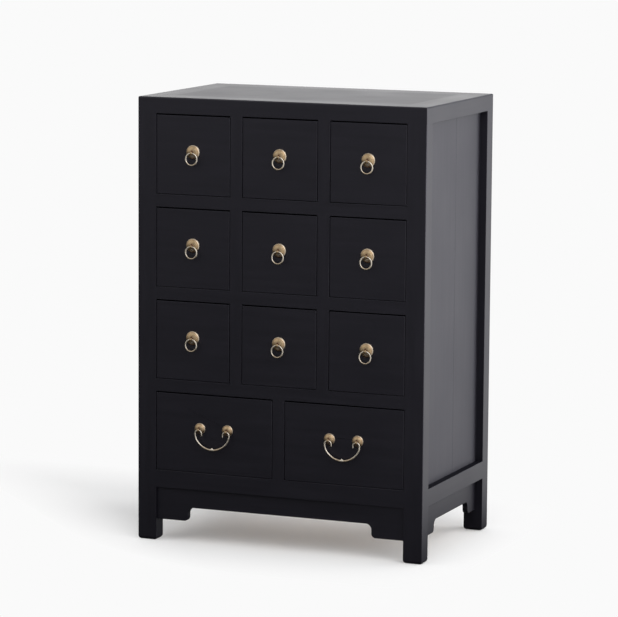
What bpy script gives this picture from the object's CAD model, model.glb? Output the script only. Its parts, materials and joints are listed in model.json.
import json
import math

import bmesh
import bpy
from mathutils import Matrix, Vector
from mathutils.bvhtree import BVHTree


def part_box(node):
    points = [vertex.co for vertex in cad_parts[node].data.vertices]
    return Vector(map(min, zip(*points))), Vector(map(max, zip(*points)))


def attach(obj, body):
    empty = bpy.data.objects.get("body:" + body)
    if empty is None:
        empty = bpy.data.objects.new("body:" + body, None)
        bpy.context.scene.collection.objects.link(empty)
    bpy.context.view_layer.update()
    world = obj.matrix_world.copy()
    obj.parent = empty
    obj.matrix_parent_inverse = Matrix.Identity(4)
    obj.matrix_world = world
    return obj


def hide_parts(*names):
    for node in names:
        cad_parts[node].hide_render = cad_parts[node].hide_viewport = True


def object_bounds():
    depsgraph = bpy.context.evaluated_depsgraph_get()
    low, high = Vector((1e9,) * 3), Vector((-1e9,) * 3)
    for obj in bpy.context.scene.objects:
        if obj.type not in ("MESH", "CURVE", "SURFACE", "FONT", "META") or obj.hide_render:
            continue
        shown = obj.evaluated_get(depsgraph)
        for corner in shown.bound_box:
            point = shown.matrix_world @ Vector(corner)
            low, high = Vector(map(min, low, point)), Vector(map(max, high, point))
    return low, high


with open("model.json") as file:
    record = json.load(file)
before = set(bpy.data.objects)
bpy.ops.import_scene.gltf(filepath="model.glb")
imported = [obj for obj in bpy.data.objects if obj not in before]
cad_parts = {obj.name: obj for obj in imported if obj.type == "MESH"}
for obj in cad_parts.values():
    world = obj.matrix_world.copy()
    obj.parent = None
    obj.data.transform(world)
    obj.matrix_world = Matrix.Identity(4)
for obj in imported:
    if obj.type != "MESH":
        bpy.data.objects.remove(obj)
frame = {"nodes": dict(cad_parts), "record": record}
cad_low, cad_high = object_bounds()

# Looks of a black lacquered medicine cabinet with brass pulls, dressed round its CAD frame.
# Lengths are in metres, x to the right, z up, and the drawers open towards -y.

MM = 0.001
RECORD = frame["record"]
BODIES = {node: body for body, nodes in RECORD["behaviour"]["bodies"].items() for node in nodes}
X_AXIS = Vector((1, 0, 0))
Y_AXIS = Vector((0, 1, 0))
Z_AXIS = Vector((0, 0, 1))
AXES = [X_AXIS, Y_AXIS, Z_AXIS]


# Camera, at the photograph's own viewpoint
PHOTO_WIDTH = 618
CAMERA_AZIMUTH = math.radians(22.195)
CAMERA_PITCH = math.radians(8.133)
CAMERA_ROLL = math.radians(0.407)
CAMERA_DISTANCE = 6.7733
CAMERA_TARGET = Vector((-0.0089, -0.0088, 0.4669))
FOCAL_PIXELS = 3339.6
SENSOR_WIDTH = 36
FAR_CLIP = 100


def make_camera():
    back = Vector(
        (
            math.sin(CAMERA_AZIMUTH) * math.cos(CAMERA_PITCH),
            -math.cos(CAMERA_AZIMUTH) * math.cos(CAMERA_PITCH),
            math.sin(CAMERA_PITCH),
        )
    )
    right = Z_AXIS.cross(back).normalized()
    up = back.cross(right)
    rolled_right = math.cos(CAMERA_ROLL) * right + math.sin(CAMERA_ROLL) * up
    rolled_up = math.cos(CAMERA_ROLL) * up - math.sin(CAMERA_ROLL) * right
    turn = Matrix((rolled_right, rolled_up, back)).transposed().to_4x4()
    data = bpy.data.cameras.new("camera")
    data.sensor_width = SENSOR_WIDTH
    data.lens = FOCAL_PIXELS * SENSOR_WIDTH / PHOTO_WIDTH
    data.clip_end = FAR_CLIP
    camera = bpy.data.objects.new("camera", data)
    camera.matrix_world = Matrix.Translation(CAMERA_TARGET + CAMERA_DISTANCE * back) @ turn
    bpy.context.scene.collection.objects.link(camera)
    bpy.context.scene.camera = camera


# Materials
class NodeTree:
    """A node tree under construction, with short calls for the nodes that materials and world share."""

    def __init__(self, tree):
        self.tree = tree

    def add(self, kind, inputs=None, **settings):
        """New node; inputs holds plain values or the sockets that feed it."""
        node = self.tree.nodes.new(kind)
        for name, value in settings.items():
            setattr(node, name, value)
        for name, value in (inputs or {}).items():
            self.feed(node.inputs[name], value)
        return node

    def feed(self, socket, value):
        if isinstance(value, bpy.types.NodeSocket):
            self.tree.links.new(value, socket)
        else:
            socket.default_value = value

    def range(self, value, low, high, to_low=0.0, to_high=1.0):
        inputs = {"Value": value, "From Min": low, "From Max": high, "To Min": to_low, "To Max": to_high}
        return self.add("ShaderNodeMapRange", inputs).outputs["Result"]

    def sum(self, *terms):
        total = terms[0]
        for term in terms[1:]:
            total = self.math("ADD", total, term)
        return total

    def math(self, operation, first, second):
        node = self.add("ShaderNodeMath", operation=operation)
        self.feed(node.inputs[0], first)
        self.feed(node.inputs[1], second)
        return node.outputs[0]

    def blend(self, factor, first, second):
        """Number between two others."""
        node = self.add("ShaderNodeMix")
        self.feed(node.inputs[0], factor)
        self.feed(node.inputs[2], first)
        self.feed(node.inputs[3], second)
        return node.outputs[0]

    def mix(self, factor, first, second):
        """Colour between two others."""
        node = self.add("ShaderNodeMix", data_type="RGBA")
        self.feed(node.inputs[0], factor)
        self.feed(node.inputs[6], first)
        self.feed(node.inputs[7], second)
        return node.outputs[2]


class Shader(NodeTree):
    """A material under construction, on Blender's principled shader."""

    def __init__(self, name):
        self.material = bpy.data.materials.new(name)
        self.material.use_nodes = True
        super().__init__(self.material.node_tree)
        self.surface = self.tree.nodes["Principled BSDF"]
        self.place = self.add("ShaderNodeTexCoord").outputs["Object"]

    def stretched(self, stretch):
        """The place on the object, shrunk along each axis so that a texture is drawn out there."""
        return self.add("ShaderNodeMapping", {"Vector": self.place, "Scale": stretch}).outputs["Vector"]

    def noise(self, place, scale, detail=2.0, roughness=0.5):
        inputs = {"Vector": place, "Scale": scale, "Detail": detail, "Roughness": roughness}
        return self.add("ShaderNodeTexNoise", inputs).outputs["Fac"]

    def blend_shaders(self, factor, first, second):
        node = self.add("ShaderNodeMixShader")
        for socket, value in zip(node.inputs, (factor, first, second)):
            self.feed(socket, value)
        return node.outputs[0]

    def attribute(self, name):
        return self.add("ShaderNodeAttribute", attribute_name=name).outputs["Fac"]

    def bump(self, height, distance):
        inputs = {"Height": height, "Distance": distance, "Strength": 1.0}
        return self.add("ShaderNodeBump", inputs).outputs["Normal"]

    def finish(self, **inputs):
        for name, value in inputs.items():
            self.feed(self.surface.inputs[name.replace("_", " ")], value)
        return self.material


def grey(level):
    return (level, level, level, 1)


# Nearly all of a noise texture's values lie between these
NOISE_SPAN = (0.3, 0.7)


# Lacquer: its colour thins over the grain, and its sheen is faintly cool
LACQUER_DEEP = (0.0024, 0.0022, 0.0048, 1)
LACQUER_THIN = (0.0042, 0.0038, 0.0073, 1)
LACQUER_SHEEN = (0.93, 0.90, 1.0, 1)
LACQUER_IOR = 1.5
LACQUER_RELIEF = 0.008 * MM
GRAIN_DRAWN_OUT = 0.06
STREAK_SCALE = 90
CLOUD_SCALE = 7
PEEL_SCALE = 650
SHEEN_SPREAD = 0.02


def lacquer(name, grain, roughness, ior=LACQUER_IOR):
    """Black lacquer over wood whose grain, along one axis, telegraphs through as faint streaks."""
    shader = Shader(name)
    along = tuple(GRAIN_DRAWN_OUT if component else 1.0 for component in grain)
    streaks = shader.noise(shader.stretched(along), STREAK_SCALE, 5, 0.6)
    clouds = shader.noise(shader.place, CLOUD_SCALE, 3)
    peel = shader.noise(shader.place, PEEL_SCALE, 2)
    on_streaks = shader.range(streaks, *NOISE_SPAN, -SHEEN_SPREAD, SHEEN_SPREAD)
    on_clouds = shader.range(clouds, *NOISE_SPAN, -SHEEN_SPREAD, SHEEN_SPREAD)
    height = shader.math("ADD", shader.math("MULTIPLY", streaks, 0.6), shader.math("MULTIPLY", peel, 0.4))
    return shader.finish(
        Base_Color=shader.mix(shader.range(streaks, 0.35, 0.75), LACQUER_DEEP, LACQUER_THIN),
        Roughness=shader.sum(on_streaks, on_clouds, roughness),
        IOR=ior,
        Specular_Tint=LACQUER_SHEEN,
        Normal=shader.bump(height, LACQUER_RELIEF),
    )


# Brass: polished where it is touched, brown where it is sheltered
BRASS_BRIGHT = (0.74, 0.67, 0.56, 1)
BRASS_TONED = (0.43, 0.31, 0.175, 1)
BRASS_DARK = (0.17, 0.07, 0.05, 1)
PATCH_SCALE = 260
PIT_SCALE = 1400
PIT_DEPTH = 0.12 * MM
PATCH_WEAR = (-0.12, 0.14)
BRASS_ROUGHNESS = (0.36, 0.50)


def brass():
    """Satin cast brass: bright where the mesh says that it is worn, dark where it is sheltered."""
    shader = Shader("brass")
    patches = shader.noise(shader.place, PATCH_SCALE, 4, 0.6)
    grain = shader.noise(shader.place, PIT_SCALE, 2)
    worn = shader.math("ADD", shader.attribute("wear"), shader.range(patches, 0.35, 0.65, *PATCH_WEAR))
    tone = shader.mix(shader.range(worn, 0.0, 1.0), BRASS_TONED, BRASS_BRIGHT)
    pits = shader.math("ADD", shader.math("MULTIPLY", patches, 0.8), shader.math("MULTIPLY", grain, 0.2))
    return shader.finish(
        Base_Color=shader.mix(shader.attribute("shelter"), tone, BRASS_DARK),
        Metallic=1.0,
        Roughness=shader.range(patches, *NOISE_SPAN, *BRASS_ROUGHNESS),
        Normal=shader.bump(pits, PIT_DEPTH),
    )


# Bare wood of the drawers and their runners
WOOD_PALE = (0.46, 0.30, 0.16, 1)
WOOD_DARK = (0.30, 0.165, 0.075, 1)
WOOD_DRAWN_OUT = 0.05
GROWTH_SCALE = 60
GROWTH_COUNT = 9.0
FIBRE_SCALE = 900
FIBRE_RELIEF = 0.08 * MM
WOOD_ROUGHNESS = (0.55, 0.72)


def bare_wood(name, grain):
    """Planed softwood with early and late wood drawn out along the grain."""
    shader = Shader(name)
    along = tuple(WOOD_DRAWN_OUT if component else 1.0 for component in grain)
    place = shader.stretched(along)
    growth = shader.noise(place, GROWTH_SCALE, 3, 0.5)
    bands = shader.math("PINGPONG", shader.math("MULTIPLY", growth, GROWTH_COUNT), 1.0)
    fibres = shader.noise(place, FIBRE_SCALE, 2)
    tone = shader.mix(shader.range(bands, 0.45, 0.95), WOOD_PALE, WOOD_DARK)
    return shader.finish(
        Base_Color=shader.mix(shader.range(fibres, 0.5, 0.75, 0.0, 0.35), tone, WOOD_DARK),
        Roughness=shader.range(fibres, *NOISE_SPAN, *WOOD_ROUGHNESS),
        Normal=shader.bump(fibres, FIBRE_RELIEF),
    )


def by_grain(make, name, *settings):
    """The same finish three times, with its grain along x, y and z."""
    return [make(f"{name}_{axis}", way, *settings) for axis, way in zip("xyz", AXES)]


FRAME_ROUGHNESS = 0.45
PANEL_ROUGHNESS = 0.49
SIDE_ROUGHNESS = 0.56
SIDE_IOR = 1.6
LEDGE_ROUGHNESS = 0.8
LEDGE_IOR = 1.2
FRAME_LACQUER = by_grain(lacquer, "lacquer", FRAME_ROUGHNESS)
PANEL_LACQUER = by_grain(lacquer, "panel_lacquer", PANEL_ROUGHNESS)
SIDE_LACQUER = by_grain(lacquer, "side_lacquer", SIDE_ROUGHNESS, SIDE_IOR)
LEDGE_LACQUER = lacquer("dull_lacquer_y", Y_AXIS, LEDGE_ROUGHNESS, LEDGE_IOR)
WOOD = by_grain(bare_wood, "wood")
BRASS = brass()


# Boards, copied from their CAD nodes and softened on their bare edges
WELD = 0.01 * MM
PLACE_DIGITS = 5
FLAT_ANGLE = math.radians(0.5)
EDGE_ANGLE = math.radians(30)
PROBE = 0.5 * MM
PROBE_WAY = Vector((0.31, 0.53, 0.79)).normalized()
TOP_CORNER_RADIUS = 2.4 * MM
CORNER_RADIUS = 1.3 * MM
BOARD_RADIUS = 0.7 * MM
FRONT_RADIUS = 0.9 * MM
WOOD_RADIUS = 0.4 * MM
FRONT_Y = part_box("front_rails")[0].y


def bare_mesh(node):
    """The CAD node's triangles, without the shading that came with them."""
    data = frame["nodes"][node].data.copy()
    shading = data.attributes.get("custom_normal")
    if shading:
        data.attributes.remove(shading)
    mesh = bmesh.new()
    mesh.from_mesh(data)
    bpy.data.meshes.remove(data)
    return mesh


def node_mesh(node):
    """The CAD node's solids as clean flat faces, without the triangles between them."""
    mesh = bare_mesh(node)
    bmesh.ops.remove_doubles(mesh, verts=mesh.verts, dist=WELD)
    bmesh.ops.dissolve_limit(mesh, angle_limit=FLAT_ANGLE, verts=mesh.verts, edges=mesh.edges)
    return mesh


def node_tree(node):
    mesh = bare_mesh(node)
    tree = BVHTree.FromBMesh(mesh)
    mesh.free()
    return tree


TREES = {node: node_tree(node) for node in BODIES}


def inside(point, nodes):
    """True where the point lies inside a solid of the nodes."""
    for node in nodes:
        crossings = 0
        start = point
        while True:
            hit = TREES[node].ray_cast(start, PROBE_WAY)[0]
            if hit is None:
                break
            crossings += 1
            start = hit + PROBE_WAY * WELD
        if crossings % 2:
            return True
    return False


def is_bare(edge, nodes):
    """True for an outward edge that no solid of the nodes meets flush on either face."""
    if len(edge.link_faces) != 2 or edge.calc_face_angle_signed() < EDGE_ANGLE:
        return False
    middle = (edge.verts[0].co + edge.verts[1].co) / 2
    first, second = (face.normal * PROBE for face in edge.link_faces)
    return not inside(middle + first - second, nodes) and not inside(middle + second - first, nodes)


def solids(mesh):
    """The mesh's separate solids, each as a list of its vertices."""
    left = set(mesh.verts)
    found = []
    while left:
        solid = []
        to_follow = [left.pop()]
        while to_follow:
            vert = to_follow.pop()
            solid.append(vert)
            for edge in vert.link_edges:
                other = edge.other_vert(vert)
                if other in left:
                    left.remove(other)
                    to_follow.append(other)
        found.append(solid)
    return found


def ends_along(axis, *nodes):
    """Places along the axis where the boards of the nodes begin and end."""
    places = set()
    for node in nodes:
        mesh = node_mesh(node)
        for solid in solids(mesh):
            along = [vert.co.dot(axis) for vert in solid]
            places |= {round(min(along), PLACE_DIGITS), round(max(along), PLACE_DIGITS)}
        mesh.free()
    return sorted(places)


def cut_at(mesh, axis, places):
    """Splits the boards' edges where their neighbours begin and end."""
    for place in places:
        everything = mesh.verts[:] + mesh.edges[:] + mesh.faces[:]
        bmesh.ops.bisect_plane(mesh, geom=everything, dist=WELD, plane_co=axis * place, plane_no=axis)


def set_grain(mesh):
    """Gives each board the finish whose grain runs along its longest side."""
    for solid in solids(mesh):
        spans = []
        for axis in range(3):
            along = [vert.co[axis] for vert in solid]
            spans.append(max(along) - min(along))
        for face in {face for vert in solid for face in vert.link_faces}:
            face.material_index = spans.index(max(spans))


def is_corner(edge):
    """True for the cabinet's outer corners, which are rounded more than the other edges."""
    for vert in edge.verts:
        walls = 0
        for axis in range(3):
            to_wall = min(vert.co[axis] - cad_low[axis], cad_high[axis] - vert.co[axis])
            on_front = axis == 1 and abs(vert.co[axis] - FRONT_Y) < PROBE
            walls += to_wall < PROBE or on_front
        if walls < 2:
            return False
    return True


def corner_radius(edge):
    on_top = all(cad_high.z - vert.co.z < PROBE for vert in edge.verts)
    return TOP_CORNER_RADIUS if on_top else CORNER_RADIUS


def new_piece(name, body, materials):
    """Empty mesh object with its finishes, riding on a body."""
    piece = bpy.data.objects.new(name, bpy.data.meshes.new(name))
    for material in materials:
        piece.data.materials.append(material)
    bpy.context.scene.collection.objects.link(piece)
    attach(piece, body)
    return piece


def ease(piece):
    """Rounds the edges that carry a weight, as far as the weight says, and keeps the faces flat."""
    bevel = piece.modifiers.new("eased edges", "BEVEL")
    bevel.limit_method = "WEIGHT"
    bevel.width = TOP_CORNER_RADIUS
    bevel.segments = 3
    bevel.use_clamp_overlap = False
    flat = piece.modifiers.new("flat faces", "WEIGHTED_NORMAL")
    flat.weight = 100
    flat.thresh = 0
    flat.keep_sharp = True


def board_piece(node, name, finish, radius, beside, cuts=(), reshape=None):
    """Stands for a node of boards: the same boards with bare edges eased and their own finish."""
    mesh = node_mesh(node)
    weight = mesh.edges.layers.float.new("bevel_weight_edge")
    for axis, places in cuts:
        cut_at(mesh, axis, places)
    set_grain(mesh)
    if reshape:
        reshape(mesh)
    for edge in mesh.edges:
        if is_bare(edge, beside):
            eased = corner_radius(edge) if is_corner(edge) else radius(edge)
            edge[weight] = eased / TOP_CORNER_RADIUS
    for face in mesh.faces:
        face.smooth = True
    piece = new_piece(name, BODIES[node], finish)
    mesh.to_mesh(piece.data)
    mesh.free()
    piece.data.set_sharp_from_angle(angle=EDGE_ANGLE)
    ease(piece)
    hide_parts(node)


# Case
CASE = [node for node in BODIES if BODIES[node] == "case"]
POSTS = ["front_left_post", "front_right_post", "rear_left_post", "rear_right_post"]
RAIL_ENDS = ends_along(Z_AXIS, "front_rails", "side_rails")
STILE_ENDS = ends_along(X_AXIS, "front_stiles")
POST_X_ENDS = ends_along(X_AXIS, *POSTS)
POST_Y_ENDS = ends_along(Y_AXIS, *POSTS)


def lacquered_radius(edge):
    return BOARD_RADIUS


def wood_radius(edge):
    return WOOD_RADIUS


def join_mitres(mesh):
    """Makes one ring of the top frame's four members, so that its corners can be rounded."""
    slanted = [face for face in mesh.faces if min(abs(face.normal.x), abs(face.normal.y)) > 0.5]
    bmesh.ops.delete(mesh, geom=slanted, context="FACES_ONLY")
    open_verts = {vert for edge in mesh.edges if edge.is_boundary for vert in edge.verts}
    along_x = [vert for vert in open_verts if vert.link_faces[0].material_index == 0]
    along_y = [vert for vert in open_verts if vert.link_faces[0].material_index == 1]
    for first in along_x:
        second = min(along_y, key=lambda vert: (vert.co - first.co).length)
        apart = first.co - second.co
        if min(abs(apart.x), abs(apart.y)) < WELD:
            meeting = (first.co + second.co) / 2
        else:
            meeting = Vector((second.co.x, first.co.y, first.co.z))
        first.co = meeting
        second.co = meeting
    bmesh.ops.remove_doubles(mesh, verts=list(open_verts), dist=WELD)


def dull_ledge(mesh):
    """Gives the ledge on each side rail, under its panel, the finish that follows the three by grain."""
    top = max(vert.co.z for vert in mesh.verts)
    for face in mesh.faces:
        if face.normal.z > 0.9 and top - face.calc_center_median().z < PROBE:
            face.material_index = len(AXES)


def case_piece(node, finish, cuts=(), beside=CASE, reshape=None):
    name = f"{node}.lacquered"
    board_piece(node, name, finish, lacquered_radius, beside, cuts, reshape)


def make_case():
    for post in POSTS:
        case_piece(post, FRAME_LACQUER, [(Z_AXIS, RAIL_ENDS)])
    top_cuts = [(X_AXIS, STILE_ENDS + POST_X_ENDS), (Y_AXIS, POST_Y_ENDS)]
    case_piece("top_frame", FRAME_LACQUER, top_cuts, reshape=join_mitres)
    case_piece("top_panel", PANEL_LACQUER)
    case_piece("front_rails", FRAME_LACQUER, [(X_AXIS, STILE_ENDS)])
    case_piece("front_stiles", FRAME_LACQUER)
    case_piece("side_rails", FRAME_LACQUER + [LEDGE_LACQUER], reshape=dull_ledge)
    case_piece("side_panels", SIDE_LACQUER, beside=[node for node in CASE if node != "side_panels"])
    case_piece("side_aprons", FRAME_LACQUER)
    case_piece("front_apron", FRAME_LACQUER)
    case_piece("back_panel", PANEL_LACQUER)
    for node in ("back_rails", "drawer_runners", "drawer_guides"):
        board_piece(node, f"{node}.planed", WOOD, wood_radius, CASE)


# Drawers
FRONT_ENDING = "_drawer_front"
DRAWERS = [node.removesuffix(FRONT_ENDING) for node in frame["nodes"] if node.endswith(FRONT_ENDING)]


def drawer_front_radius(edge):
    on_face = all(abs(vert.co.y - FRONT_Y) < PROBE for vert in edge.verts)
    return FRONT_RADIUS if on_face else WOOD_RADIUS


def make_drawer(name):
    front = f"{name}_drawer_front"
    box = f"{name}_drawer_box"
    drawer = [front, box]
    board_piece(front, f"{front}.lacquered", FRAME_LACQUER, drawer_front_radius, drawer)
    board_piece(box, f"{box}.planed", WOOD, wood_radius, drawer)


# Pulls, in millimetres round their own pivot: x to the right, out from the drawer face, and up
PIVOT_OUT = 9
DOME_HEIGHT = 6.8
DOME_EDGE = 3.5
DOME_EDGE_START = 6
PLATE_ROUND = 0.25
FRONT_THICKNESS = 18
SHANK_RADIUS = 2.0
SHANK_TAIL = 1.5
SHANK_ROUND = 0.5
WASHER_RADIUS = 5.0
WASHER_THICKNESS = 1.2
WASHER_ROUND = 0.3
CRISP = 0.02
EYE_WIDTH = 4.6
EYE_GAP = 0.6
EYE_SHOULDER = 0.8
BORE_FLARE = 0.35
NECK_BASE = 4.0
NECK_SHOULDER = 6.0
NECK_RADIUS = 2.9
NECK_TOP_RADIUS = 2.5
NECK_ROUND = 0.35
NECK_GAP = 0.04
DOME_TURNS = 72
EYE_TURNS = 40
NECK_TURNS = 32
RING_TURNS = 96
WIRE_SIDES = 20
PULL_EDGE_ANGLE = math.radians(50)


def arc(centre, radius, start, end, count):
    """Points of an arc from one angle to another, in degrees."""
    points = []
    for step in range(count + 1):
        angle = math.radians(start + (end - start) * step / count)
        points.append((centre[0] + radius * math.cos(angle), centre[1] + radius * math.sin(angle)))
    return points


def lathe(profile, to_place, turns):
    """Vertices and faces of a profile of (radius, height) turned about its axis, closed at both ends."""
    points = []
    faces = []
    for radius, height in profile[1:-1]:
        for turn in range(turns):
            angle = 2 * math.pi * turn / turns
            points.append(to_place(radius * math.cos(angle), radius * math.sin(angle), height))
    first = len(points)
    points.append(to_place(0, 0, profile[0][1]))
    points.append(to_place(0, 0, profile[-1][1]))
    rows = len(profile) - 2
    for turn in range(turns):
        after = (turn + 1) % turns
        faces.append((first, turn, after))
        for row in range(rows - 1):
            low = row * turns
            faces.append((low + turn, low + turns + turn, low + turns + after, low + after))
        low = (rows - 1) * turns
        faces.append((low + turn, first + 1, low + after))
    return points, faces


def ring_lathe(profile, to_place, turns):
    """Vertices and faces of a closed profile turned about an axis that it doesn't touch."""
    points = []
    faces = []
    count = len(profile)
    for turn in range(turns):
        angle = 2 * math.pi * turn / turns
        for radius, height in profile:
            points.append(to_place(radius * math.cos(angle), radius * math.sin(angle), height))
    for turn in range(turns):
        after = (turn + 1) % turns
        for row in range(count):
            up = (row + 1) % count
            faces.append((turn * count + row, after * count + row, after * count + up, turn * count + up))
    return points, faces


def dome_curve(radius):
    """Radius of the ball that tops a domed disc, and the angle where its rounded edge takes over."""
    inner = radius - DOME_EDGE
    ball = (inner**2 + DOME_HEIGHT**2 - DOME_EDGE**2) / (2 * (DOME_HEIGHT - DOME_EDGE))
    return ball, math.degrees(math.asin(inner / (ball - DOME_EDGE)))


def fitting_profile(radius):
    """Back to front: the shank's end, its washer, the back of the plate, its rounded edge and the dome."""
    ball, lean = dome_curve(radius)
    back = -FRONT_THICKNESS
    washer_back = back - WASHER_THICKNESS
    tail = washer_back - SHANK_TAIL
    profile = [(0, tail)]
    profile += arc((SHANK_RADIUS - SHANK_ROUND, tail + SHANK_ROUND), SHANK_ROUND, -90, 0, 4)
    profile += [(SHANK_RADIUS, washer_back - CRISP), (SHANK_RADIUS + CRISP, washer_back)]
    profile += arc((WASHER_RADIUS - WASHER_ROUND, washer_back + WASHER_ROUND), WASHER_ROUND, -90, 0, 3)
    profile += [(WASHER_RADIUS, back - CRISP), (WASHER_RADIUS - CRISP, back)]
    profile += [(SHANK_RADIUS + CRISP, back), (SHANK_RADIUS, back + CRISP)]
    profile += [(SHANK_RADIUS, -CRISP), (SHANK_RADIUS + CRISP, 0)]
    profile += arc((radius - PLATE_ROUND, PLATE_ROUND), PLATE_ROUND, -90, 0, 3)
    edge_end = 90 - lean
    profile += arc((radius - DOME_EDGE, 0), DOME_EDGE, DOME_EDGE_START, edge_end, 10)
    profile += arc((0, DOME_HEIGHT - ball), ball, edge_end + 2, 89, 14)
    profile.append((0, DOME_HEIGHT))
    return profile


def eye_profile(outer, bore):
    """Half section of the eye: a barrel with soft shoulders round a flared bore."""
    half = EYE_WIDTH / 2
    shoulder = outer - EYE_SHOULDER
    flare = bore + BORE_FLARE
    profile = arc((shoulder, half - EYE_SHOULDER), EYE_SHOULDER, 0, 90, 5)
    profile += arc((flare, half - BORE_FLARE), BORE_FLARE, 90, 180, 4)
    profile += arc((flare, BORE_FLARE - half), BORE_FLARE, 180, 270, 4)
    profile += arc((shoulder, EYE_SHOULDER - half), EYE_SHOULDER, 270, 360, 5)
    return profile


def neck_profile(bore):
    """The neck that carries the eye, from inside the dome up to just under the bore."""
    top = PIVOT_OUT - bore - NECK_GAP
    edge = top - CRISP / 2
    return [
        (0, NECK_BASE),
        (NECK_RADIUS, NECK_BASE),
        (NECK_RADIUS, NECK_SHOULDER),
        (NECK_TOP_RADIUS, edge - NECK_ROUND),
        (NECK_TOP_RADIUS - NECK_ROUND, edge),
        (0, top),
    ]


class PullMesh:
    """Mesh of a pull built round its pivot, out of several turned or swept solids.

    shelter and wear tell how dark or bright the brass is at a place of the solid.
    """

    def __init__(self):
        self.mesh = bmesh.new()
        self.shelter = self.mesh.verts.layers.float.new("shelter")
        self.wear = self.mesh.verts.layers.float.new("wear")

    def add(self, solid, shelter=None, wear=None):
        points, faces = solid
        verts = [self.mesh.verts.new(Vector(point) * MM) for point in points]
        for face in faces:
            made = self.mesh.faces.new([verts[index] for index in face])
            made.smooth = True
        for vert in verts:
            if shelter:
                vert[self.shelter] = shelter(vert.co / MM)
            if wear:
                vert[self.wear] = wear(vert.co / MM)

    def make(self, name, node, pivot):
        bmesh.ops.recalc_face_normals(self.mesh, faces=self.mesh.faces)
        bmesh.ops.translate(self.mesh, vec=pivot, verts=self.mesh.verts)
        piece = new_piece(name, BODIES[node], [BRASS])
        self.mesh.to_mesh(piece.data)
        self.mesh.free()
        piece.data.set_sharp_from_angle(angle=PULL_EDGE_ANGLE)
        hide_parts(node)


# How sheltered or worn the brass is, from 0 to 1, and how far from an edge, eye or wire that reaches
BACK_SHELTER = 0.6
LINE_SHELTER = 0.55
LINE_WIDTH = 1.0
FOOT_SHELTER = 0.6
FOOT_REACH = 1.6
OVER_EYE_UP = 0.5
OVER_EYE_REACH = (3.0, 1.0)
EDGE_WEAR = 0.55
EDGE_REACH = (-0.2, 0.4)
RUBBED_DOWN = 6.5
RUBBED_REACH = (4.9, 1.4)
BORE_REACH = 0.5
EYE_FOOT_SHELTER = 0.7
EYE_FOOT_OUT = (7.4, 6.4)
NECK_SHELTER = 0.8
LOW_DULLNESS = 0.6


def clamp(value):
    return min(1.0, max(0.0, value))


def share(value, none, full):
    """0 where the value is none, 1 where it is full, and even between them and past both."""
    return (value - none) / (full - none)


class Fitting:
    """Domed plate or boss with its shank and washer, and the eye that stands on its dome.

    behind tells how sheltered a place is by what hangs from the eye, where the brass is never polished.
    """

    def __init__(self, x, radius, up, eye_radius, wire_radius, behind):
        self.x = x
        self.radius = radius
        self.up = up
        self.eye_radius = eye_radius
        self.bore = wire_radius + EYE_GAP
        self.behind = behind
        ball, lean = dome_curve(radius)
        self.edge_radius = ball * math.sin(math.radians(lean))

    def on_plate(self, right, upward, out):
        return (self.x + right, -out, self.up + upward)

    def on_neck(self, right, upward, out):
        return (self.x + right, -out, upward)

    def on_eye(self, right, upward, along):
        return (self.x + along, -PIVOT_OUT - right, upward)

    def from_edge(self, place):
        """How far outside the dome's rounded edge a place lies."""
        return math.hypot(place.x - self.x, place.z - self.up) - self.edge_radius

    def from_pivot(self, place, upward):
        """How far a place lies from the point above the pivot, seen from the front."""
        return math.hypot(place.x - self.x, place.z - upward)

    def shelter(self, place):
        if place.y > 0:
            return BACK_SHELTER
        line = LINE_SHELTER * share(abs(self.from_edge(place) + LINE_WIDTH), LINE_WIDTH, 0)
        from_eye = self.from_pivot(place, 0) - self.eye_radius
        foot = FOOT_SHELTER * share(from_eye, FOOT_REACH, 0)
        over_eye = share(self.from_pivot(place, self.eye_radius + OVER_EYE_UP), *OVER_EYE_REACH)
        return clamp(max(line, foot, over_eye, self.behind(place.x - self.x, place.z)))

    def wear(self, place):
        on_edge = EDGE_WEAR * clamp(share(self.from_edge(place), *EDGE_REACH))
        rubbed = clamp(share(self.from_pivot(place, -RUBBED_DOWN), *RUBBED_REACH))
        return max(on_edge, rubbed)

    def eye_shelter(self, place):
        from_bore = math.hypot(place.y + PIVOT_OUT, place.z) - self.bore
        in_bore = share(from_bore, BORE_REACH, 0)
        at_foot = EYE_FOOT_SHELTER * share(-place.y, *EYE_FOOT_OUT)
        return clamp(max(in_bore, at_foot))

    def neck_shelter(self, place):
        return NECK_SHELTER

    def add_to(self, pull):
        pull.add(lathe(fitting_profile(self.radius), self.on_plate, DOME_TURNS), self.shelter, self.wear)
        eye = eye_profile(self.eye_radius, self.bore)
        pull.add(ring_lathe(eye, self.on_eye, EYE_TURNS), self.eye_shelter)
        pull.add(lathe(neck_profile(self.bore), self.on_neck, NECK_TURNS), self.neck_shelter)


# Ring pulls
RING_RADIUS = 12
RING_WIRE = 1.5
PLATE_RADIUS = 14.5
PLATE_UP = 1.5
RING_EYE = 3.4
RING_SHELTER = 0.75
RING_SHELTER_REACH = 2.5
RING_SHELTER_DOWN = (-6, -12)
RING_LOW = (-16, -22)


def behind_ring(x, z):
    """Dark inside the ring, towards the plate's lower edge."""
    from_wire = RING_RADIUS - RING_WIRE - math.hypot(x, z + RING_RADIUS)
    inside_ring = clamp(share(from_wire, 0, RING_SHELTER_REACH))
    return RING_SHELTER * inside_ring * clamp(share(z, *RING_SHELTER_DOWN))


def ring_wear(place):
    """Bright at the ring's sides, and duller at its lowest part."""
    return 1 - LOW_DULLNESS * clamp(share(place.z, *RING_LOW))


def on_ring(right, upward, out):
    return (right, -PIVOT_OUT - out, upward - RING_RADIUS)


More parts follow.
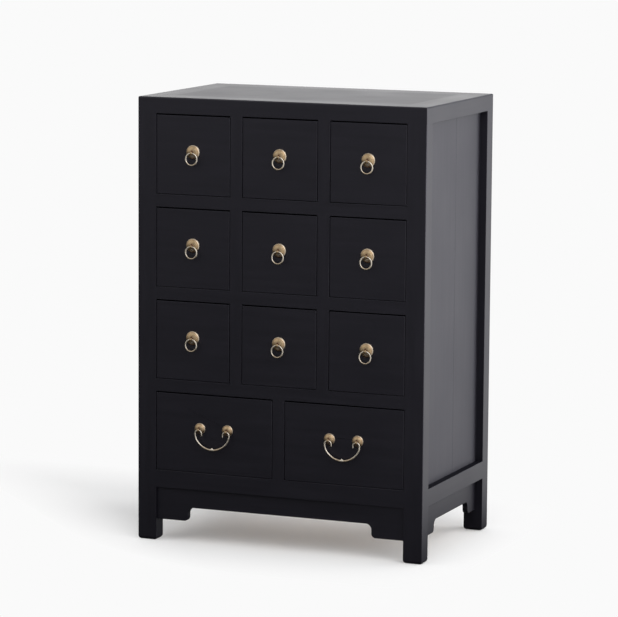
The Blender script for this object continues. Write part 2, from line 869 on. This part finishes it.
def make_ring_pull(name):
    low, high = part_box(f"{name}_pull_plate")
    pivot = Vector(((low.x + high.x) / 2, FRONT_Y, (low.z + high.z) / 2 - PLATE_UP * MM))
    plate = PullMesh()
    Fitting(0, PLATE_RADIUS, PLATE_UP, RING_EYE, RING_WIRE, behind_ring).add_to(plate)
    plate.make(f"{name}_plate.brass", f"{name}_pull_plate", pivot)
    ring = PullMesh()
    wire = arc((RING_RADIUS, 0), RING_WIRE, 0, 360, WIRE_SIDES)[:-1]
    ring.add(ring_lathe(wire, on_ring, RING_TURNS), wear=ring_wear)
    ring.make(f"{name}_ring.brass", f"{name}_pull_ring", pivot)


# Bail pulls
BAIL_SPAN = 60
BOSS_RADIUS = 12
BOSS_UP = 1.5
HOOK_RADIUS = 7
HOOK_TAIL = 3.5
BAIL_DROP = 38.5
BAIL_SIDE_RADIUS = 26
BAIL_WIRE = 2.1
WIRE_STEP = 0.25
CUSP_HEIGHT = 5
CUSP_REACH = 4.5
TIP_ROWS = ((0.85, 0.55), (0.5, 1.0))
BAIL_EYE = 3.5
HOOK_WIRE = BAIL_WIRE - 2 * WIRE_STEP
TAIL_WIRE = BAIL_WIRE - 3 * WIRE_STEP
HOOK_SHELTER = 0.6
HOOK_SHELTER_REACH = 1.5
BAIL_LOW = (-26, -34)
BAIL_MIDDLE = (2, 6)


def bail_path():
    """Right half of the bail's middle line, from its lowest point to the end of its hook's tail."""
    half = BAIL_SPAN / 2 + HOOK_RADIUS
    depth = BAIL_DROP - HOOK_RADIUS
    side_x = half - BAIL_SIDE_RADIUS
    low_radius = (side_x**2 + depth**2 - BAIL_SIDE_RADIUS**2) / (2 * (depth - BAIL_SIDE_RADIUS))
    lean = math.degrees(math.asin(side_x / (low_radius - BAIL_SIDE_RADIUS)))
    low = arc((0, low_radius - BAIL_DROP), low_radius, -90, -90 + lean, 30)
    side = arc((side_x, -HOOK_RADIUS), BAIL_SIDE_RADIUS, lean - 90, 0, 30)
    hook = arc((BAIL_SPAN / 2, -HOOK_RADIUS), HOOK_RADIUS, 0, 180, 28)
    tail_x = BAIL_SPAN / 2 - HOOK_RADIUS
    tail = [(tail_x, -HOOK_RADIUS - HOOK_TAIL * step / 3) for step in range(1, 4)]
    return low + side[1:] + hook[1:] + tail


def bail_line():
    """The whole bail's middle line, and how far along it each of its points lies from the middle."""
    right = bail_path()
    path = [(-x, z) for x, z in reversed(right[1:])] + right
    length = [0.0]
    for before, after in zip(path, path[1:]):
        length.append(length[-1] + math.dist(before, after))
    middle = length[-1] / 2
    return path, [abs(along - middle) for along in length]


def wire_section(path, from_middle, index):
    """Points round the bail's wire, which is thinner towards its ends and has a cusp on its middle."""
    before = path[max(index - 1, 0)]
    after = path[min(index + 1, len(path) - 1)]
    along = Vector((after[0] - before[0], after[1] - before[1])).normalized()
    across = Vector((-along.y, along.x))
    thinned = min(1.0, from_middle[index] / (from_middle[-1] - HOOK_TAIL))
    wire = BAIL_WIRE - (BAIL_WIRE - TAIL_WIRE) * thinned
    pulled = max(0.0, 1 - from_middle[index] / CUSP_REACH) ** 2
    section = []
    for side in range(WIRE_SIDES):
        angle = 2 * math.pi * side / WIRE_SIDES
        lift = wire * math.cos(angle)
        if lift > 0:
            lift += (CUSP_HEIGHT - wire) * pulled * math.cos(angle) ** 2
        place = Vector(path[index]) + across * lift
        section.append((place.x, -PIVOT_OUT - wire * math.sin(angle), place.y))
    return section


def rounded_tip(section, end, beside):
    """Smaller sections ahead of the wire's last one, which round its end."""
    ahead = Vector((end[0] - beside[0], end[1] - beside[1])).normalized()
    rows = []
    for shrink, step in TIP_ROWS:
        row = []
        for x, y, z in section:
            across = end[0] + (x - end[0]) * shrink + ahead.x * step
            upward = end[1] + (z - end[1]) * shrink + ahead.y * step
            row.append((across, -PIVOT_OUT + (y + PIVOT_OUT) * shrink, upward))
        rows.append(row)
    return rows


def skin(sections):
    """Vertices and faces of sections joined one to the next, and closed at both ends."""
    points = [point for section in sections for point in section]
    sides = len(sections[0])
    last = len(points) - sides
    faces = [tuple(range(sides)), tuple(range(last, len(points)))]
    for low in range(0, last, sides):
        for side in range(sides):
            up = (side + 1) % sides
            faces.append((low + side, low + sides + side, low + sides + up, low + up))
    return points, faces


def bail_wire():
    """Swept wire of the whole bail, with rounded ends."""
    path, from_middle = bail_line()
    sections = [wire_section(path, from_middle, index) for index in range(len(path))]
    first_tip = rounded_tip(sections[0], path[0], path[1])
    last_tip = rounded_tip(sections[-1], path[-1], path[-2])
    return skin(first_tip[::-1] + sections + last_tip)


def bail_wear(place):
    """Bright at the bail's sides, duller at its lowest part, and with a bright cusp in the middle."""
    low = clamp(share(place.z, *BAIL_LOW))
    beside_cusp = clamp(share(abs(place.x), *BAIL_MIDDLE))
    return 1 - LOW_DULLNESS * low * beside_cusp


def behind_hook(x, z):
    """Dark inside the hook of the bail."""
    from_wire = HOOK_RADIUS - HOOK_WIRE - math.hypot(x, z + HOOK_RADIUS)
    return HOOK_SHELTER * clamp(share(from_wire, 0, HOOK_SHELTER_REACH))


def make_bail_pull(name):
    low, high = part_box(f"{name}_pull_bosses")
    pivot = Vector(((low.x + high.x) / 2, FRONT_Y, (low.z + high.z) / 2 - BOSS_UP * MM))
    bosses = PullMesh()
    for x in (-BAIL_SPAN / 2, BAIL_SPAN / 2):
        Fitting(x, BOSS_RADIUS, BOSS_UP, BAIL_EYE, HOOK_WIRE, behind_hook).add_to(bosses)
    bosses.make(f"{name}_bosses.brass", f"{name}_pull_bosses", pivot)
    bail = PullMesh()
    bail.add(bail_wire(), wear=bail_wear)
    bail.make(f"{name}_bail.brass", f"{name}_pull_bail", pivot)


def make_pull(name):
    if name.startswith("bottom"):
        make_bail_pull(name)
    else:
        make_ring_pull(name)


# Floor, which is plain white past the cabinet's shadow
FLOOR_SIZE = 30
FLOOR_WHITE = 0.92
BACKGROUND = 0.956
SHADOW_RIGHT = 0.30
SHADOW_RIGHT_STEEPNESS = 2.5
SHADOW_LEFT = -0.40
SHADOW_FRONT = -0.165
SHADOW_BACK = 0.25
SHADOW_FADE = 0.25
SHADOW_LIFT = 0.14
ROOM = 0.26
NEAR_FLOOR = 0.03
NEAR_FLOOR_SPAN = (-5.0, -0.2)
BACK_FLOOR = 1.0
BACK_FLOOR_START = (0.2, 0.8)
RIGHT_FLOOR_START = (0.38, 0.55)


def out_of_shadow(shader, x, y):
    """From SHADOW_LIFT within the cabinet's shadow to 1 where a place on the floor is well outside it."""
    right = shader.math("MULTIPLY", shader.math("SUBTRACT", x, SHADOW_RIGHT), SHADOW_RIGHT_STEEPNESS)
    left = shader.math("SUBTRACT", SHADOW_LEFT, shader.math("ADD", x, y))
    front = shader.math("SUBTRACT", SHADOW_FRONT, y)
    back = shader.math("SUBTRACT", y, SHADOW_BACK)
    squares = []
    for first, second in ((right, left), (front, back)):
        outside = shader.math("MAXIMUM", shader.math("MAXIMUM", first, second), 0.0)
        squares.append(shader.math("POWER", outside, 2.0))
    distance = shader.math("POWER", shader.sum(*squares), 0.5)
    return shader.range(distance, 0.0, SHADOW_FADE, SHADOW_LIFT, 1.0)


def mirrored_floor(shader, x, y):
    """How bright the lacquer sees the floor: dark before the cabinet, bright beside and behind it."""
    ahead = shader.range(y, *NEAR_FLOOR_SPAN, ROOM, NEAR_FLOOR)
    behind = shader.range(y, *BACK_FLOOR_START)
    clear = shader.math("MAXIMUM", behind, shader.range(x, *RIGHT_FLOOR_START))
    return shader.math("ADD", ahead, shader.math("MULTIPLY", clear, BACK_FLOOR - NEAR_FLOOR))


def floor_material():
    shader = Shader("floor")
    plain = shader.finish(Base_Color=grey(FLOOR_WHITE), Roughness=1.0)
    where = shader.add("ShaderNodeSeparateXYZ", {"Vector": shader.place}).outputs
    away = out_of_shadow(shader, where["X"], where["Y"])
    mirrored = mirrored_floor(shader, where["X"], where["Y"])
    white = shader.add("ShaderNodeEmission", {"Color": grey(1.0), "Strength": BACKGROUND}).outputs[0]
    room = shader.add("ShaderNodeEmission", {"Color": grey(1.0), "Strength": mirrored}).outputs[0]
    ray = shader.add("ShaderNodeLightPath").outputs
    seen = shader.math("MULTIPLY", ray["Is Camera Ray"], away)
    to_eye = shader.blend_shaders(seen, shader.surface.outputs[0], white)
    shown = shader.blend_shaders(ray["Is Glossy Ray"], to_eye, room)
    shader.feed(shader.tree.nodes["Material Output"].inputs["Surface"], shown)
    return plain


def make_floor():
    mesh = bmesh.new()
    bmesh.ops.create_grid(mesh, x_segments=1, y_segments=1, size=FLOOR_SIZE / 2)
    floor = bpy.data.objects.new("floor", bpy.data.meshes.new("floor"))
    mesh.to_mesh(floor.data)
    mesh.free()
    bpy.context.scene.collection.objects.link(floor)
    floor.data.materials.append(floor_material())


# Lamps, and the room that the lacquer mirrors
COOL = (0.92, 0.95, 1.07, 1)
CEILING = 0.72
CEILING_START = (0.3, 0.65)
RIGHT_SIDE = (-0.1, 0.3)
LEFT_WALL = 0.65
LEFT_WALL_START = (-0.9, -0.4)
LEFT_BACK = 2.05
LEFT_BACK_START = (0.3, 0.9)
RIGHT_WALL = 1.0
RIGHT_WALL_START = (-0.85, -0.35)
WINDOW = 3.9
WINDOW_START = (-0.05, 0.25)
WINDOW_END = (0.5, 0.85)
RIGHT_BACK = 0.3


def soft_light(name, width, height, place, aim, power):
    data = bpy.data.lights.new(name, "AREA")
    data.shape = "RECTANGLE"
    data.size = width
    data.size_y = height
    data.energy = power
    light = bpy.data.objects.new(name, data)
    light.location = place
    light.rotation_euler = (Vector(aim) - Vector(place)).to_track_quat("-Z", "Y").to_euler()
    bpy.context.scene.collection.objects.link(light)


def left_wall(tree, ahead):
    """Dim in front and brightest behind."""
    front = tree.range(ahead, *LEFT_WALL_START, ROOM, LEFT_WALL)
    back = tree.range(ahead, *LEFT_BACK_START, 0.0, LEFT_BACK - LEFT_WALL)
    return tree.sum(front, back)


def right_wall(tree, ahead):
    """Dim in front, with a bright window in the middle, and dim behind."""
    front = tree.range(ahead, *RIGHT_WALL_START, ROOM, RIGHT_WALL)
    in_window = tree.math("SUBTRACT", tree.range(ahead, *WINDOW_START), tree.range(ahead, *WINDOW_END))
    window = tree.math("MULTIPLY", in_window, WINDOW - RIGHT_WALL)
    back = tree.range(ahead, *WINDOW_END, 0.0, RIGHT_BACK - RIGHT_WALL)
    return tree.sum(front, window, back)


def make_world():
    """White for the camera, and for everything else a room.

    Each START and END of the room is a pair of directions between which its brightness changes, told by
    their part along one axis, from -1 to 1.
    """
    world = bpy.data.worlds.new("studio")
    world.use_nodes = True
    bpy.context.scene.world = world
    tree = NodeTree(world.node_tree)
    direction = tree.add("ShaderNodeTexCoord").outputs["Generated"]
    way = tree.add("ShaderNodeSeparateXYZ", {"Vector": direction}).outputs
    on_right = tree.range(way["X"], *RIGHT_SIDE)
    walls = tree.blend(on_right, left_wall(tree, way["Y"]), right_wall(tree, way["Y"]))
    room = tree.blend(tree.range(way["Z"], *CEILING_START), walls, CEILING)
    ray = tree.add("ShaderNodeLightPath").outputs
    cool = tree.math("MULTIPLY", on_right, ray["Is Glossy Ray"])
    background = world.node_tree.nodes["Background"]
    tree.feed(background.inputs["Strength"], tree.blend(ray["Is Camera Ray"], room, BACKGROUND))
    tree.feed(background.inputs["Color"], tree.mix(cool, grey(1.0), COOL))


def make_lamps():
    soft_light("key", width=3.6, height=3.0, place=(2.1, -1.9, 2.5), aim=(0, 0, 0.6), power=64)
    soft_light("front", width=2.2, height=1.2, place=(-1.6, -1.6, 1.6), aim=(-0.1, -0.1, 0.6), power=5)
    soft_light("side", width=2.0, height=1.4, place=(2.2, 1.6, 0.65), aim=(0, 0, 0.30), power=21)


make_camera()
make_case()
for name in DRAWERS:
    make_drawer(name)
    make_pull(name)
make_floor()
make_world()
make_lamps()
bpy.context.scene.view_settings.view_transform = "Standard"
